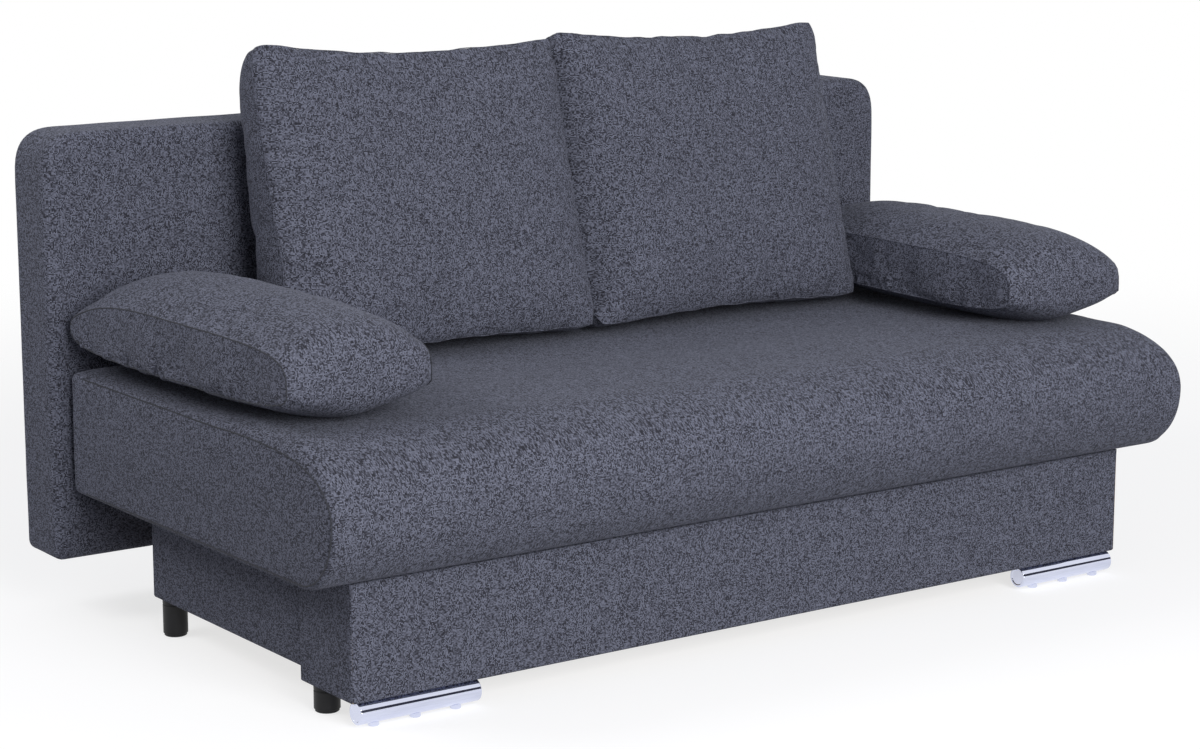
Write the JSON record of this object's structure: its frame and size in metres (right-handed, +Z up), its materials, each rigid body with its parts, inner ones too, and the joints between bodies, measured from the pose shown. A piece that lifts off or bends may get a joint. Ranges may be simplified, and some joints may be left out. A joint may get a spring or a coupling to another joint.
{
  "type": "futon sofa bed",
  "caption": "Upholstered pull-out sofa bed with a fold-flat backrest, a bedding box under the seat, loose back cushions and loose arm cushions.",
  "frame": {"origin": "middle of the footprint's bounding box, on the floor", "axes": "+X along the sofa to its right as seen from the front, -Y to the front where people sit, +Z up"},
  "size_m": [2, 1.122, 1.0713],
  "materials": {
    "upholstery": "slate blue-grey melange weave",
    "liner": "unbleached woven lining",
    "timber": "plain particle board and softwood",
    "foam": "cream polyurethane foam",
    "wadding": "white polyester filling",
    "steel": "grey powder coat",
    "bare_steel": "zinc plated",
    "chrome": "polished chrome",
    "black_plastic": "black moulded plastic",
    "board": "dark fibre sheet"
  },
  "bodies": {
    "base": {"box_side_left": "timber", "box_side_right": "timber", "box_fabric": "upholstery", "box_front_panel": "timber", "box_rear_panel": "timber", "box_floor": "timber", "box_front_rail": "timber", "box_corner_blocks": "timber", "guide_rail_left": "steel", "guide_rail_right": "steel", "box_feet": "black_plastic", "box_foot_bolts": "bare_steel"},
    "seat_unit": {"plinth_frame": "timber", "plinth_base_board": "timber", "plinth_top_board": "timber", "plinth_fabric": "upholstery", "plinth_bolts": "bare_steel", "chrome_foot_left": "chrome", "chrome_foot_right": "chrome", "chrome_foot_glides": "chrome", "chrome_foot_bolts": "bare_steel", "plinth_feet": "black_plastic", "seat_frame": "timber", "seat_slat_board": "timber", "seat_springs": "liner", "seat_foam": "foam", "seat_cover": "upholstery", "seat_runner_left": "timber", "seat_runner_right": "timber", "seat_glide_pads": "black_plastic", "arm_bracket_left": "steel", "arm_bracket_right": "steel", "bracket_screws": "bare_steel", "lower_pivot_pins": "bare_steel", "lower_pivot_bushes": "black_plastic"},
    "swing_arms": {"swing_arm_left": "steel", "swing_arm_right": "steel"},
    "backrest": {"back_frame": "timber", "back_webbing": "liner", "back_foam": "foam", "back_cover": "upholstery", "back_rear_board": "timber", "hinge_plate_left": "steel", "hinge_plate_right": "steel", "upper_pivot_pins": "bare_steel", "upper_pivot_bushes": "black_plastic", "leg_recess_tray": "board", "leg_brackets": "steel", "leg_pins": "bare_steel"},
    "support_leg": {"support_leg": "steel", "leg_caps": "black_plastic"},
    "back_cushion_left": {"back_cushion_cover_left": "upholstery", "back_cushion_filling_left": "wadding"},
    "back_cushion_right": {"back_cushion_cover_right": "upholstery", "back_cushion_filling_right": "wadding"},
    "arm_cushion_left": {"arm_cushion_cover_left": "upholstery", "arm_cushion_filling_left": "wadding"},
    "arm_cushion_right": {"arm_cushion_cover_right": "upholstery", "arm_cushion_filling_right": "wadding"}
  },
  "joints": [
    {"name": "seat_pull_out", "type": "slide", "parent": "base", "child": "seat_unit", "axis": [0, -1, 0], "range_m": [0, 0.25]},
    {"name": "swing_arm_pivot", "type": "hinge", "parent": "seat_unit", "child": "swing_arms", "pos_m": [0, 0.33496, 0.20728], "axis": [1, 0, 0], "range_deg": [0, 65]},
    {"name": "backrest_pivot", "type": "hinge", "parent": "swing_arms", "child": "backrest", "pos_m": [0, 0.529, 0.162], "axis": [-1, 0, 0], "range_deg": [0, 155]},
    {"name": "support_leg_pivot", "type": "hinge", "parent": "backrest", "child": "support_leg", "pos_m": [0, 0.548, 0.8], "axis": [1, 0, 0], "range_deg": [0, 90]},
    {"name": "back_cushion_left_lift", "type": "slide", "parent": "seat_unit", "child": "back_cushion_left", "axis": [0, 0, 1], "range_m": [0, 0.3]},
    {"name": "back_cushion_right_lift", "type": "slide", "parent": "seat_unit", "child": "back_cushion_right", "axis": [0, 0, 1], "range_m": [0, 0.3]},
    {"name": "arm_cushion_left_lift", "type": "slide", "parent": "seat_unit", "child": "arm_cushion_left", "axis": [0, 0, 1], "range_m": [0, 0.3]},
    {"name": "arm_cushion_right_lift", "type": "slide", "parent": "seat_unit", "child": "arm_cushion_right", "axis": [0, 0, 1], "range_m": [0, 0.3]}
  ],
  "couplings": [
    {"joint": "swing_arm_pivot", "follows": "seat_pull_out", "rad_per_m": 4.5378},
    {"joint": "backrest_pivot", "follows": "seat_pull_out", "rad_per_m": 10.821},
    {"joint": "support_leg_pivot", "follows": "seat_pull_out", "rad_per_m": 6.2831}
  ]
}
